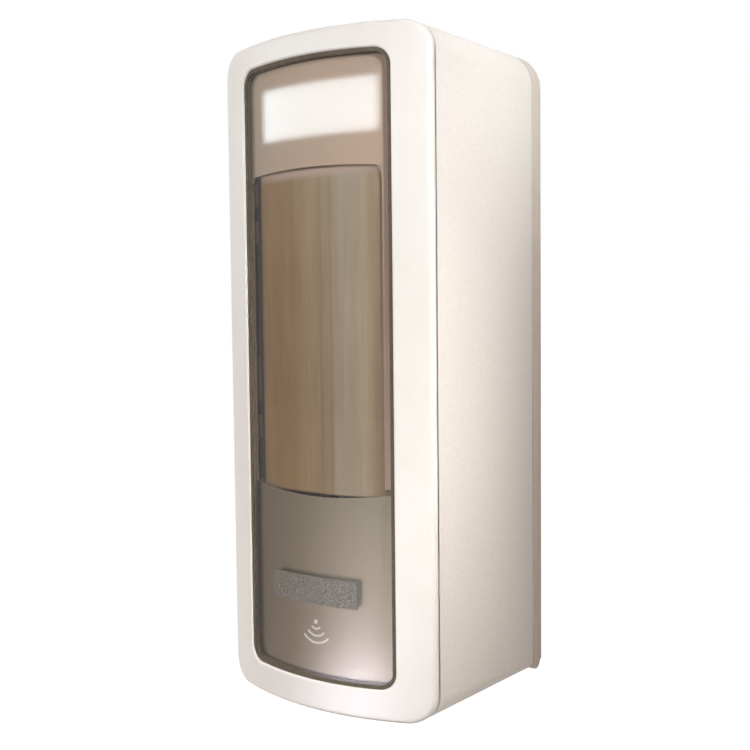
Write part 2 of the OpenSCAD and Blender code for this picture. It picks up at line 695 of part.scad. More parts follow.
// Masks behind the panel: a light frame round the bottle opening above, a grey plate below.
mask_edge = 2;
mask_front = 3.5;
mask_back = 4.9;
mask_arc_r = 220;
frame_low = -47;
opening_left = -38.6;
opening_right = 34.4;
opening_top = 89.1;
opening_corner_r = 6.5;
opening_arc_r = 450;
module upper_mask() color([0.8, 0.77, 0.72]) {
  middle = (opening_left + opening_right) / 2;
  half = (opening_right - opening_left) / 2;
  difference() {
    intersection() {
      crowned_sheet(window(mask_edge), mask_front, mask_back);
      block(-60, 60, cut_near, cut_far, frame_low, 200);
    }
    intersection() {
      translate([middle, 0, 0])
        upright(rounded(half, frame_low - 20, opening_top, opening_corner_r), cut_near, cut_far);
      translate([middle, 0, opening_top - opening_arc_r]) rotate([90, 0, 0])
        cylinder(r = opening_arc_r, h = cutter_h, $fn = arc_faces);
    }
    block(opening_left - 10, middle, cut_near, cut_far, frame_low - 1, opening_top - 2 * opening_corner_r);
  }
}
module mask_plate() color([0.45, 0.43, 0.38]) {
  difference() {
    intersection() {
      crowned_sheet(window(mask_edge), mask_front, mask_back);
      block(-60, 60, cut_near, cut_far, -200, mask_top + 5);
    }
    translate([0, 0, mask_top + mask_arc_r]) rotate([90, 0, 0])
      cylinder(r = mask_arc_r, h = cutter_h, $fn = arc_faces);
  }
}
module badge_plate() color([0.3, 0.29, 0.27])
  crowned_sheet(rounded(badge_w / 2, badge_z - badge_h / 2, badge_z + badge_h / 2, 0.8),
    panel_recess - 0.4, panel_recess);

// Dot with three arcs opening upward below it.
sign_line = 0.9;
sign_steps = 12;
function arc_band(r, half_angle) = concat(
  [for (k = [0:sign_steps]) let(a = -90 - half_angle + 2 * half_angle * k / sign_steps)
    [(r + sign_line / 2) * cos(a), sign_z + (r + sign_line / 2) * sin(a)]],
  [for (k = [sign_steps:-1:0]) let(a = -90 - half_angle + 2 * half_angle * k / sign_steps)
    [(r - sign_line / 2) * cos(a), sign_z + (r - sign_line / 2) * sin(a)]]
);
module sensor_sign() color("mistyrose") {
  intersection() {
    union() {
      depth_rod(0, sign_z, 1, cut_near, cut_far);
      for (r = [3.1, 6.2, 9.3]) upright(arc_band(r, 46), cut_near, cut_far);
    }
    difference() {
      crown(3.27);
      crown(3.5);
    }
  }
}

// ---- Latch on the top of the cover: push down to free the hook from the back plate
module latch_button() color([0.8, 0.8, 0.8]) {
  union() {
    block(-latch_x, latch_x, latch_d[0], latch_d[1], 144.4, 147.1);
    block(-6, 6, 15, 17, 129.9, 145);
    block(-6, 6, 7.6, 17, 129.9, 131.6);
    block(-6, 6, 7.6, 9.6, 129.9, 133.2);
    post(0, 25.5, 2, 139.5, 145);
  }
}
module latch_spring() color("silver") coil(0, 25.5, 3, 0.35, 135.4, 144.3, 5);

back_plate();
hinge_pins();
drive_chassis();
chassis_screws();
bottle_cradle();
refill_bottle();
liquid_soap();
pump_collar();
pump_cylinder();
pump_spring();
pump_piston();
spout_nozzle();
pump_carriage();
guide_rods();
output_gear();
output_axle();
idler_gear();
idler_axle();
motor_pinion();
drive_motor();
gearbox_plate();
gearbox_cover();
gearbox_pillars();
circuit_board();
board_parts();
board_standoffs();
sensor_board();
sensor_diodes();
sensor_lens();
outlet_shroud();
battery_box();
battery_cells();
battery_contacts();
battery_lid();
cover_shell();
front_bezel();
front_panel();
panel_gasket();
panel_retainer();
upper_mask();
mask_plate();
badge_plate();
sensor_sign();
bezel_screws();
latch_button();
latch_spring();
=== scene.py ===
# Wall soap dispenser: finishes, soft-edged skins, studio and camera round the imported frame.
import math
import bmesh
import bpy
import numpy as np
from mathutils import Matrix, Vector


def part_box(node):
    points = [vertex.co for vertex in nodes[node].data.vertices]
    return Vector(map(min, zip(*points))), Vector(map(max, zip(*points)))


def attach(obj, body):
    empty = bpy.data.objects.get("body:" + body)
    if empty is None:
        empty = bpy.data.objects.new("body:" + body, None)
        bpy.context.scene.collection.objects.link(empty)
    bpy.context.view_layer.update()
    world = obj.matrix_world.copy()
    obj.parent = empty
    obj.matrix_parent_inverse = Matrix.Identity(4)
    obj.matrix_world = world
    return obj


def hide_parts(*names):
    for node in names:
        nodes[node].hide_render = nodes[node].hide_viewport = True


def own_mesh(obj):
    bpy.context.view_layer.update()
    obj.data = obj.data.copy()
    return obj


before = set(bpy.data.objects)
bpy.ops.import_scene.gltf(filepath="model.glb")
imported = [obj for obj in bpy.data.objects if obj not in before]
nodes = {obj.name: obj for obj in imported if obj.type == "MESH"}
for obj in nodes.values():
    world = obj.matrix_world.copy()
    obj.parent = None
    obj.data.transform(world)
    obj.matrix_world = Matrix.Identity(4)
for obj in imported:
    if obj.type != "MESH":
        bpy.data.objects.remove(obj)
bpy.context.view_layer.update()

scene = bpy.context.scene
mm = 0.001

# Camera: from the front right, about level with the housing. Place in m, turns in degrees, and lens
# in mm.
cameraSetup = {"place": (0.2939, -0.4627, 0.0275), "yaw": 35.97, "pitch": -3.39, "roll": -0.62,
               "lens": 51.78, "sensor": 36}


def aimCamera(setup):
    yaw, pitch, roll = (math.radians(setup[k]) for k in ("yaw", "pitch", "roll"))
    level = math.cos(pitch)
    ahead = Vector((-math.sin(yaw) * level, math.cos(yaw) * level, math.sin(pitch)))
    right = ahead.cross(Vector((0, 0, 1))).normalized()
    up = right.cross(ahead)
    side = math.cos(roll) * right + math.sin(roll) * up
    top = -math.sin(roll) * right + math.cos(roll) * up
    data = bpy.data.cameras.new("studioCamera")
    data.lens = setup["lens"]
    data.sensor_width = setup["sensor"]
    camera = bpy.data.objects.new("studioCamera", data)
    scene.collection.objects.link(camera)
    turn = Matrix((side, top, -ahead)).transposed().to_4x4()
    camera.matrix_world = Matrix.Translation(setup["place"]) @ turn
    scene.camera = camera


aimCamera(cameraSetup)
print("camera ready")

# Moulded plastics. Patch and grain are noise scales, depth is the grain's bump in mm.
plasticLooks = {
    "shellWhite": {"colour": (0.865, 0.835, 0.80), "second": (0.825, 0.79, 0.75), "patch": 900,
        "rough": 0.42, "grain": 1500, "depth": 0.05, "coat": 0.15, "shine": 0.3},
    "bezelWhite": {"colour": (0.895, 0.88, 0.865), "second": (0.88, 0.865, 0.845), "patch": 60,
        "rough": 0.38, "grain": 900, "depth": 0.008, "coat": 0.06},
    "innerWhite": {"colour": (0.80, 0.78, 0.75), "second": (0.76, 0.74, 0.71), "patch": 120,
        "rough": 0.5, "grain": 1200, "depth": 0.02, "coat": 0.0},
    # back plate: white plastic made darker and warmer as painted shade along the rear edge
    "plateWhiteWithPaintedShade": {"colour": (0.70, 0.64, 0.585), "second": (0.66, 0.60, 0.545), "patch": 120,
        "rough": 0.5, "grain": 1200, "depth": 0.02, "coat": 0.0},
    "chassisGrey": {"colour": (0.085, 0.083, 0.080), "second": (0.065, 0.063, 0.060), "patch": 150,
        "rough": 0.55, "grain": 1300, "depth": 0.03, "coat": 0.0},
    "cradleDark": {"colour": (0.150, 0.120, 0.088), "second": (0.125, 0.100, 0.073), "patch": 150,
        "rough": 0.55, "grain": 1300, "depth": 0.03, "coat": 0.0},
    "sealRubber": {"colour": (0.150, 0.127, 0.096), "second": (0.125, 0.105, 0.079), "patch": 400,
        "rough": 0.7, "grain": 2000, "depth": 0.02, "coat": 0.0, "shine": 0.12},
    "clampTan": {"colour": (0.20, 0.175, 0.145), "second": (0.175, 0.152, 0.125), "patch": 300,
        "rough": 0.6, "grain": 1500, "depth": 0.02, "coat": 0.0, "shine": 0.2},
    "signInk": {"colour": (0.84, 0.90, 1.0), "second": (0.78, 0.84, 0.94), "patch": 700,
        "rough": 0.5, "grain": 1500, "depth": 0.01, "coat": 0.0},
    "gearCream": {"colour": (0.78, 0.73, 0.60), "second": (0.72, 0.67, 0.54), "patch": 200,
        "rough": 0.4, "grain": 1500, "depth": 0.01, "coat": 0.0},
    "carriageBlue": {"colour": (0.055, 0.10, 0.15), "second": (0.045, 0.085, 0.13), "patch": 200,
        "rough": 0.45, "grain": 1500, "depth": 0.02, "coat": 0.0},
    "boardGreen": {"colour": (0.010, 0.075, 0.030), "second": (0.014, 0.10, 0.042), "patch": 600,
        "rough": 0.35, "grain": 1800, "depth": 0.01, "coat": 0.3},
    "chipBlack": {"colour": (0.012, 0.012, 0.013), "second": (0.020, 0.020, 0.021), "patch": 900,
        "rough": 0.45, "grain": 2500, "depth": 0.01, "coat": 0.0},
    "lensRed": {"colour": (0.030, 0.006, 0.010), "second": (0.022, 0.005, 0.008), "patch": 80,
        "rough": 0.08, "grain": 600, "depth": 0.002, "coat": 0.6},
    "cellGreen": {"colour": (0.02, 0.13, 0.06), "second": (0.018, 0.11, 0.05), "patch": 100,
        "rough": 0.3, "grain": 900, "depth": 0.005, "coat": 0.4},
    "keyGrey": {"colour": (0.60, 0.59, 0.57), "second": (0.56, 0.55, 0.53), "patch": 200,
        "rough": 0.35, "grain": 1500, "depth": 0.02, "coat": 0.1},
    "soapAmber": {"colour": (0.36, 0.24, 0.12), "second": (0.33, 0.215, 0.105), "patch": 40,
        "rough": 0.15, "grain": 300, "depth": 0.0, "coat": 0.0},
}


# A material with only its output left, its tree, and the socket that takes its surface.
def blankMaterial(name):
    material = bpy.data.materials.new(name)
    material.use_nodes = True
    tree = material.node_tree
    tree.nodes.clear()
    return material, tree, tree.nodes.new("ShaderNodeOutputMaterial").inputs["Surface"]


def objectPlace(tree):
    return tree.nodes.new("ShaderNodeTexCoord").outputs["Object"]


def blankFinish(name):
    finish, tree, surface = blankMaterial(name)
    shader = tree.nodes.new("ShaderNodeBsdfPrincipled")
    tree.links.new(shader.outputs["BSDF"], surface)
    return finish, tree, shader, objectPlace(tree)


def noiseOn(tree, place, scale, detail=2, rough=0.5):
    noise = tree.nodes.new("ShaderNodeTexNoise")
    noise.inputs["Scale"].default_value = scale
    noise.inputs["Detail"].default_value = detail
    noise.inputs["Roughness"].default_value = rough
    tree.links.new(place, noise.inputs["Vector"])
    return noise.outputs["Fac"]


def rampOn(tree, value, stops):
    ramp = tree.nodes.new("ShaderNodeValToRGB")
    ramp.color_ramp.elements[0].position = stops[0][0]
    ramp.color_ramp.elements[0].color = (*stops[0][1], 1)
    ramp.color_ramp.elements[1].position = stops[-1][0]
    ramp.color_ramp.elements[1].color = (*stops[-1][1], 1)
    for position, colour in stops[1:-1]:
        ramp.color_ramp.elements.new(position).color = (*colour, 1)
    tree.links.new(value, ramp.inputs["Fac"])
    return ramp.outputs["Color"]


# A value of 0 to 1 spread between low and high.
def rangeOn(tree, value, low, high):
    spread = tree.nodes.new("ShaderNodeMapRange")
    spread.inputs["To Min"].default_value = low
    spread.inputs["To Max"].default_value = high
    tree.links.new(value, spread.inputs["Value"])
    return spread.outputs["Result"]


# Sets the roughness to a middle value that plays down and up by the two steps of play.
def glossOn(tree, shader, value, middle, play):
    rough = rangeOn(tree, value, middle + play[0], middle + play[1])
    tree.links.new(rough, shader.inputs["Roughness"])


# One Math node, of a socket and another socket or a plain number.
def mathOn(tree, kind, first, second):
    step = tree.nodes.new("ShaderNodeMath")
    step.operation = kind
    tree.links.new(first, step.inputs[0])
    if isinstance(second, float):
        step.inputs[1].default_value = second
    else:
        tree.links.new(second, step.inputs[1])
    return step.outputs[0]


def mixOn(tree, share, first, second):
    mix = tree.nodes.new("ShaderNodeMixShader")
    tree.links.new(share, mix.inputs["Fac"])
    tree.links.new(first, mix.inputs[1])
    tree.links.new(second, mix.inputs[2])
    return mix.outputs[0]


# The place scaled along each axis; a scale below 1 draws a pattern out along that axis.
def stretchOn(tree, place, scale):
    stretch = tree.nodes.new("ShaderNodeMapping")
    stretch.inputs["Scale"].default_value = scale
    tree.links.new(place, stretch.inputs["Vector"])
    return stretch.outputs["Vector"]


def bumpOn(tree, height, depth):
    bump = tree.nodes.new("ShaderNodeBump")
    bump.inputs["Strength"].default_value = 1.0
    bump.inputs["Distance"].default_value = depth * mm
    tree.links.new(height, bump.inputs["Height"])
    return bump.outputs["Normal"]


# The same for every plastic: where its two shades lie in the noise, the gloss's play, the coat's
# roughness, and the shine of one that names none.
plasticWays = {"secondAt": 0.35, "colourAt": 0.62, "glossPlay": (-0.05, 0.07), "coatRough": 0.12,
               "plainShine": 0.5}


# Moulded plastic: two close shades in patches, a fine grain in the bump and a little play in the
# gloss.
def plasticFinish(name, look):
    finish, tree, shader, place = blankFinish(name)
    patches = noiseOn(tree, place, look["patch"], detail=3)
    stops = [(plasticWays["secondAt"], look["second"]), (plasticWays["colourAt"], look["colour"])]
    tree.links.new(rampOn(tree, patches, stops), shader.inputs["Base Color"])
    grain = noiseOn(tree, place, look["grain"])
    glossOn(tree, shader, grain, look["rough"], plasticWays["glossPlay"])
    tree.links.new(bumpOn(tree, grain, look["depth"]), shader.inputs["Normal"])
    shader.inputs["Specular IOR Level"].default_value = look.get("shine", plasticWays["plainShine"])
    shader.inputs["Coat Weight"].default_value = look["coat"]
    shader.inputs["Coat Roughness"].default_value = plasticWays["coatRough"]
    return finish


# Metals: fine lines that lie across an axis of high stretch, a shade darker in the troughs.
metalLooks = {
    "brushedSteel": {"colour": (0.60, 0.60, 0.61), "rough": 0.28, "stretch": (1, 1, 12),
                     "scale": 900},
    "rawBrass": {"colour": (0.66, 0.47, 0.19), "rough": 0.3, "stretch": (1, 1, 1), "scale": 700},
}
metalWays = {"darkShare": 0.86, "darkAt": 0.3, "colourAt": 0.7, "glossPlay": (-0.06, 0.1),
             "depth": 0.01}


def metalFinish(name, look):
    finish, tree, shader, place = blankFinish(name)
    lines = noiseOn(tree, stretchOn(tree, place, look["stretch"]), look["scale"], detail=3)
    dark = tuple(metalWays["darkShare"] * c for c in look["colour"])
    stops = [(metalWays["darkAt"], dark), (metalWays["colourAt"], look["colour"])]
    tree.links.new(rampOn(tree, lines, stops), shader.inputs["Base Color"])
    glossOn(tree, shader, lines, look["rough"], metalWays["glossPlay"])
    tree.links.new(bumpOn(tree, lines, metalWays["depth"]), shader.inputs["Normal"])
    shader.inputs["Metallic"].default_value = 1.0
    return finish


# Bare plate: dark metal with an all-over fine speckle, from its dark to its light specks.
speckLook = {
    "stops": [(0.36, (0.060, 0.053, 0.042)), (0.5, (0.128, 0.116, 0.094)),
              (0.66, (0.245, 0.225, 0.185))],
    "size": 1600, "detail": 4, "fine": 0.75, "rough": (0.38, 0.6), "depth": 0.05, "metal": 0.35,
}


def speckFinish(name, look):
    finish, tree, shader, place = blankFinish(name)
    specks = noiseOn(tree, place, look["size"], look["detail"], look["fine"])
    tree.links.new(rampOn(tree, specks, look["stops"]), shader.inputs["Base Color"])
    glossOn(tree, shader, specks, 0, look["rough"])
    tree.links.new(bumpOn(tree, specks, look["depth"]), shader.inputs["Normal"])
    shader.inputs["Metallic"].default_value = look["metal"]
    return finish


# Masks behind the panel: satin paint with a fine speckle, whose colour runs slowly across the width
# (x in mm). On the grey mask this run is painted shade and painted reflection, darker to the left
# and lighter to the right; on the cream mask it is darker towards the left.
maskLooks = {
    "maskGrey": {
        # painted shade and painted reflection: darker at the left, lighter and greener at the right
        "across": [(-38, (0.108, 0.103, 0.086)), (-26, (0.180, 0.182, 0.153)),
                   (0, (0.240, 0.256, 0.224)), (38, (0.320, 0.350, 0.315))],
        "speck": 1300, "play": 0.11, "metal": 0.55, "rough": 0.36},
    "maskCream": {
        "across": [(-38, (0.45, 0.46, 0.42)), (-20, (0.54, 0.50, 0.46)), (10, (0.57, 0.51, 0.465)),
                   (38, (0.59, 0.52, 0.48))],
        "speck": 1400, "play": 0.03, "metal": 0.0, "rough": 0.55},
}
maskWays = {"fine": 0.7, "speckPlay": 2, "cloud": 22, "glossPlay": (-0.08, 0.08), "depth": 0.012}


# 0 at the low end and 1 at the high end of a stretch of one object axis, given in mm.
def alongAxis(tree, place, axis, low, high):
    parts = tree.nodes.new("ShaderNodeSeparateXYZ")
    tree.links.new(place, parts.inputs["Vector"])
    spread = tree.nodes.new("ShaderNodeMapRange")
    spread.inputs["From Min"].default_value = low * mm
    spread.inputs["From Max"].default_value = high * mm
    tree.links.new(parts.outputs[axis], spread.inputs["Value"])
    return spread.outputs["Result"]


# Colours that run across the width, from stops of (x in mm, colour).
def acrossOn(tree, place, stops):
    low, high = stops[0][0], stops[-1][0]
    shares = [((x - low) / (high - low), colour) for x, colour in stops]
    return rampOn(tree, alongAxis(tree, place, "X", low, high), shares)


# Colour multiplied by a value that plays round one.
def timesPlay(tree, colour, value, play):
    shade = tree.nodes.new("ShaderNodeVectorMath")
    shade.operation = "SCALE"
    tree.links.new(colour, shade.inputs[0])
    tree.links.new(rangeOn(tree, value, 1 - play, 1 + play), shade.inputs["Scale"])
    return shade.outputs["Vector"]


def maskFinish(name, look):
    finish, tree, shader, place = blankFinish(name)
    specks = noiseOn(tree, place, look["speck"], rough=maskWays["fine"])
    # colour run across the width; on the grey mask it is painted shade and painted reflection
    base = acrossOn(tree, place, look["across"])
    base = timesPlay(tree, base, specks, look["play"] * maskWays["speckPlay"])
    clouds = noiseOn(tree, place, maskWays["cloud"])
    tree.links.new(timesPlay(tree, base, clouds, look["play"]), shader.inputs["Base Color"])
    glossOn(tree, shader, specks, look["rough"], maskWays["glossPlay"])
    tree.links.new(bumpOn(tree, specks, maskWays["depth"]), shader.inputs["Normal"])
    shader.inputs["Metallic"].default_value = look["metal"]
    return finish


# Smoked panel: a tinted see-through sheet, polished above and satin where the grey mask lies behind
# it. Each of its two faces tints once, and mirrors more the flatter it is looked along. The light of
# lamps passes it unchanged.
panelLook = {
    "tint": (0.895, 0.83, 0.765), "haze": 12, "hazeShare": 0.97, "hazyAt": 0.3, "clearAt": 0.7,
    "polish": 0.03, "satin": 0.2, "satinTop": -51.0, "satinBlend": 1.0, "shine": 0.035,
    "flatness": 0.5, "steepness": 5.0, "grain": 1100, "grainDepth": 0.03,
}


def panelFinish(name, look):
    finish, tree, surface = blankMaterial(name)
    place = objectPlace(tree)
    clear = tree.nodes.new("ShaderNodeBsdfTransparent")
    haze = noiseOn(tree, place, look["haze"])
    hazy = tuple(look["hazeShare"] * c for c in look["tint"])
    stops = [(look["hazyAt"], hazy), (look["clearAt"], look["tint"])]
    tree.links.new(rampOn(tree, haze, stops), clear.inputs["Color"])
    gloss = tree.nodes.new("ShaderNodeBsdfGlossy")
    low, high = look["satinTop"] - look["satinBlend"], look["satinTop"] + look["satinBlend"]
    height = alongAxis(tree, place, "Z", low, high)
    tree.links.new(rangeOn(tree, height, look["satin"], look["polish"]), gloss.inputs["Roughness"])
    satin = rangeOn(tree, height, 1.0, 0.0)
    grain = mathOn(tree, "MULTIPLY", noiseOn(tree, place, look["grain"], detail=1), satin)
    tree.links.new(bumpOn(tree, grain, look["grainDepth"]), gloss.inputs["Normal"])
    facing = tree.nodes.new("ShaderNodeLayerWeight")
    facing.inputs["Blend"].default_value = look["flatness"]
    steep = mathOn(tree, "POWER", facing.outputs["Facing"], look["steepness"])
    mirror = rangeOn(tree, steep, look["shine"], 1.0)
    sheet = mixOn(tree, mirror, clear.outputs["BSDF"], gloss.outputs["BSDF"])
    rays = tree.nodes.new("ShaderNodeLightPath")
    through = tree.nodes.new("ShaderNodeBsdfTransparent")
    either = mixOn(tree, rays.outputs["Is Shadow Ray"], sheet, through.outputs["BSDF"])
    tree.links.new(either, surface)
    return finish


# Refill bottle: cloudy amber film in upright bands across the width (x in mm), streaked up and down.
# The bands are painted reflections and, darker at the left edge, painted shade; the pinkish lighter
# colour on its top is a painted highlight.
bottleLook = {
    "amberAndPaintedLight": [
        # amber tint with painted reflections (light and dark upright stripes) and painted shade at
        # the left edge
        (-36, (0.20, 0.14, 0.07)), (-32, (0.283, 0.197, 0.085)), (-22, (0.283, 0.197, 0.090)),
        (-14, (0.310, 0.213, 0.103)), (-9, (0.318, 0.244, 0.143)), (-1, (0.355, 0.292, 0.187)),
        (2.6, (0.330, 0.280, 0.186)), (3.6, (0.284, 0.237, 0.154)), (4.8, (0.335, 0.286, 0.193)),
        (7.6, (0.342, 0.294, 0.202)), (8.8, (0.278, 0.234, 0.160)), (10.2, (0.349, 0.324, 0.256)),
        (13, (0.396, 0.388, 0.336)), (24, (0.406, 0.394, 0.330)), (27, (0.403, 0.360, 0.270)),
        (31, (0.400, 0.345, 0.249)), (36, (0.430, 0.380, 0.277))],
    # shoulder colour: a painted highlight, pinkish and lighter, on the bottle's top
    "shoulder": (0.50, 0.43, 0.42), "highlightLow": 84.0, "highlightBlend": 3.0,
    "stretch": (1, 1, 0.06), "streak": 110, "streakPlay": 0.24, "streakDepth": 0.25,
    "fineStreak": 420, "fineStreakPlay": 0.20, "cloud": 28, "cloudPlay": 0.14, "grain": 500,
    "rough": 0.33, "glossPlay": (-0.04, 0.05), "veil": 0.93,
}


def bottleFinish(name, look):
    finish, tree, shader, place = blankFinish(name)
    drawn = stretchOn(tree, place, look["stretch"])
    streaks = noiseOn(tree, drawn, look["streak"], detail=3)
    # amber tint across the width, with painted reflections and painted shade
    amberAndPaintedLight = timesPlay(tree, acrossOn(tree, place, look["amberAndPaintedLight"]), streaks, look["streakPlay"])
    amberAndPaintedLight = timesPlay(tree, amberAndPaintedLight, noiseOn(tree, drawn, look["fineStreak"]), look["fineStreakPlay"])
    clouds = noiseOn(tree, place, look["cloud"], detail=3)
    amberAndPaintedLight = timesPlay(tree, amberAndPaintedLight, clouds, look["cloudPlay"])
    # painted highlight: the top of the bottle blends into the pinkish lighter shoulder colour
    top = tree.nodes.new("ShaderNodeMix")
    top.data_type = "RGBA"
    low = look["highlightLow"]
    height = alongAxis(tree, place, "Z", low, low + look["highlightBlend"])
    tree.links.new(height, top.inputs["Factor"])
    tree.links.new(amberAndPaintedLight, top.inputs["A"])
    top.inputs["B"].default_value = (*look["shoulder"], 1)
    tree.links.new(top.outputs["Result"], shader.inputs["Base Color"])
    glossOn(tree, shader, noiseOn(tree, place, look["grain"]), look["rough"], look["glossPlay"])
    tree.links.new(bumpOn(tree, streaks, look["streakDepth"]), shader.inputs["Normal"])
    shader.inputs["Alpha"].default_value = look["veil"]
    return finish


finishes = {name: plasticFinish(name, look) for name, look in plasticLooks.items()}
finishes.update({name: metalFinish(name, look) for name, look in metalLooks.items()})
finishes.update({name: maskFinish(name, look) for name, look in maskLooks.items()})
finishes["badgeSpeck"] = speckFinish("badgeSpeck", speckLook)
finishes["smokedPanel"] = panelFinish("smokedPanel", panelLook)
finishes["bottleAmber"] = bottleFinish("bottleAmber", bottleLook)
print("finishes ready:", len(finishes))

# Which finish each CAD node wears.
nodeFinish = {
    "back_plate": "plateWhiteWithPaintedShade", "hinge_pins": "brushedSteel", "drive_chassis": "chassisGrey",
    "chassis_screws": "brushedSteel", "bottle_cradle": "cradleDark",
    "refill_bottle": "bottleAmber", "liquid_soap": "soapAmber", "pump_collar": "innerWhite",
    "pump_cylinder": "gearCream", "pump_spring": "brushedSteel", "pump_piston": "innerWhite",
    "spout_nozzle": "chassisGrey", "pump_carriage": "carriageBlue", "guide_rods": "brushedSteel",
    "output_gear": "gearCream", "output_axle": "brushedSteel", "idler_gear": "gearCream",
    "idler_axle": "brushedSteel", "motor_pinion": "rawBrass", "drive_motor": "brushedSteel",
    "gearbox_plate": "brushedSteel", "gearbox_cover": "brushedSteel",
    "gearbox_pillars": "rawBrass", "circuit_board": "boardGreen", "board_parts": "chipBlack",
    "board_standoffs": "innerWhite", "sensor_board": "boardGreen", "sensor_diodes": "lensRed",
    "sensor_lens": "lensRed", "outlet_shroud": "chassisGrey", "battery_box": "innerWhite",
    "battery_cells": "cellGreen", "battery_contacts": "brushedSteel", "battery_lid": "innerWhite",
    "cover_shell": "shellWhite", "front_bezel": "bezelWhite", "front_panel": "smokedPanel",
    "panel_gasket": "sealRubber", "panel_retainer": "clampTan", "mask_plate": "maskGrey",
    "upper_mask": "maskCream", "badge_plate": "badgeSpeck", "sensor_sign": "signInk",
    "bezel_screws": "brushedSteel", "latch_button": "keyGrey", "latch_spring": "brushedSteel",
}
for name, finish in nodeFinish.items():
    for place in nodes[name].material_slots:
        place.material = finishes[finish]


# Edges of the CAD nodes: weld joins the loose triangles (m), flat cleans the flats (degrees), sharp
# is the angle from which an edge is rounded or stays crisp (degrees), and round gives each node's
# rounding in mm.
edges = {
    "weld": 0.000004, "flat": 0.6, "sharp": 32, "steps": 2,
    "round": {
        "back_plate": 0.4, "cover_shell": 0.45, "battery_box": 0.4, "battery_lid": 0.4,
        "latch_button": 0.5, "drive_chassis": 0.3, "bottle_cradle": 0.3, "outlet_shroud": 0.5,
        "badge_plate": 0.1, "mask_plate": 0.2, "pump_carriage": 0.25, "sensor_lens": 0.2,
        "gearbox_plate": 0.15, "gearbox_cover": 0.15, "battery_cells": 0.5, "spout_nozzle": 0.25,
        "drive_motor": 0.4, "board_parts": 0.15, "circuit_board": 0.1,
    },
}


# Shades faces smooth and keeps edges sharper than the given angle crisp.
def smoothTool(angle):
    tool = bpy.data.node_groups.new("softShade", "GeometryNodeTree")
    for way in ("INPUT", "OUTPUT"):
        tool.interface.new_socket("Geometry", in_out=way, socket_type="NodeSocketGeometry")
    start = tool.nodes.new("NodeGroupInput")
    end = tool.nodes.new("NodeGroupOutput")
    faces = tool.nodes.new("GeometryNodeSetShadeSmooth")
    crisp = tool.nodes.new("GeometryNodeSetShadeSmooth")
    crisp.domain = "EDGE"
    crisp.inputs["Shade Smooth"].default_value = False
    bend = tool.nodes.new("GeometryNodeInputMeshEdgeAngle")
    sharp = mathOn(tool, "GREATER_THAN", bend.outputs["Unsigned Angle"], math.radians(angle))
    tool.links.new(start.outputs[0], faces.inputs["Geometry"])
    tool.links.new(faces.outputs["Geometry"], crisp.inputs["Geometry"])
    tool.links.new(sharp, crisp.inputs["Selection"])
    tool.links.new(crisp.outputs["Geometry"], end.inputs[0])
    return tool


softShade = smoothTool(edges["sharp"])


def addShade(obj):
    obj.modifiers.new("softShade", "NODES").node_group = softShade


def finishEdges(obj, width):
    weld = obj.modifiers.new("joinFaces", "WELD")
    weld.merge_threshold = edges["weld"]
    flat = obj.modifiers.new("cleanFlats", "DECIMATE")
    flat.decimate_type = "DISSOLVE"
    flat.angle_limit = math.radians(edges["flat"])
    if width:
        rounding = obj.modifiers.new("edgeRound", "BEVEL")
        rounding.width = width * mm
        rounding.segments = edges["steps"]
        rounding.limit_method = "ANGLE"
        rounding.angle_limit = math.radians(edges["sharp"])
    addShade(obj)
    obj.modifiers.new("levelFlats", "WEIGHTED_NORMAL").keep_sharp = True


replaced = {"front_bezel", "front_panel", "refill_bottle", "pump_spring", "latch_spring"}
for name, obj in nodes.items():
    if name not in replaced:
        finishEdges(obj, edges["round"].get(name, 0))
for name in ("badge_plate", "sensor_sign"):
    nodes[name].visible_shadow = False  # thin trim: its shadow stays off what lies close behind
print("CAD nodes dressed:", len(nodes))

# Shapes shared by the new skins, in mm. The window gives its half width, low end, high end and
# corner radius.
housing = {"halfWide": 56.0, "halfTall": 145.5, "crownDeep": 107.0, "crownRadius": 132.652,
           "corner": 12.0, "bow": 1.0, "window": (40.0, -132.3, 135.3, 7.5)}


# Outline (x, z): four quarter circles joined by straight sides and by top and bottom edges that fall
# away from their middles by bow times the square of x over the half width.
def roundedOutline(halfWide, low, high, radius, bow, perCorner=14, perEdge=24):
    turn = np.linspace(0, math.pi / 2, perCorner)
    drop = bow * ((halfWide - radius) / halfWide) ** 2
    lowCentre = (halfWide - radius, low + drop + radius)
    highCentre = (halfWide - radius, high - drop - radius)
    lowRight = np.stack([np.sin(turn), -np.cos(turn)], 1) * radius + lowCentre
    highRight = np.stack([np.cos(turn), np.sin(turn)], 1) * radius + highCentre
    side = np.linspace(lowRight[-1], highRight[0], perEdge + 2)[1:-1]
    x = np.linspace(halfWide - radius, radius - halfWide, perEdge + 2)[1:-1]
    top = np.stack([x, high - bow * (x / halfWide) ** 2], 1)
    bottom = np.stack([-x, low + bow * (x / halfWide) ** 2], 1)
    flip = np.array([-1, 1])
    right = [lowRight, side, highRight]
    return np.concatenate([*right, top, *(part[::-1] * flip for part in right[::-1]), bottom])


crownCentre = housing["crownRadius"] - housing["crownDeep"]


# Depth of the crowned face at x: the front of an upright cylinder whose radius is less by inset.
def crownY(x, inset=0.0):
    radius = housing["crownRadius"] - inset
    return crownCentre - np.sqrt(radius ** 2 - np.minimum(np.abs(x), radius - 1) ** 2)


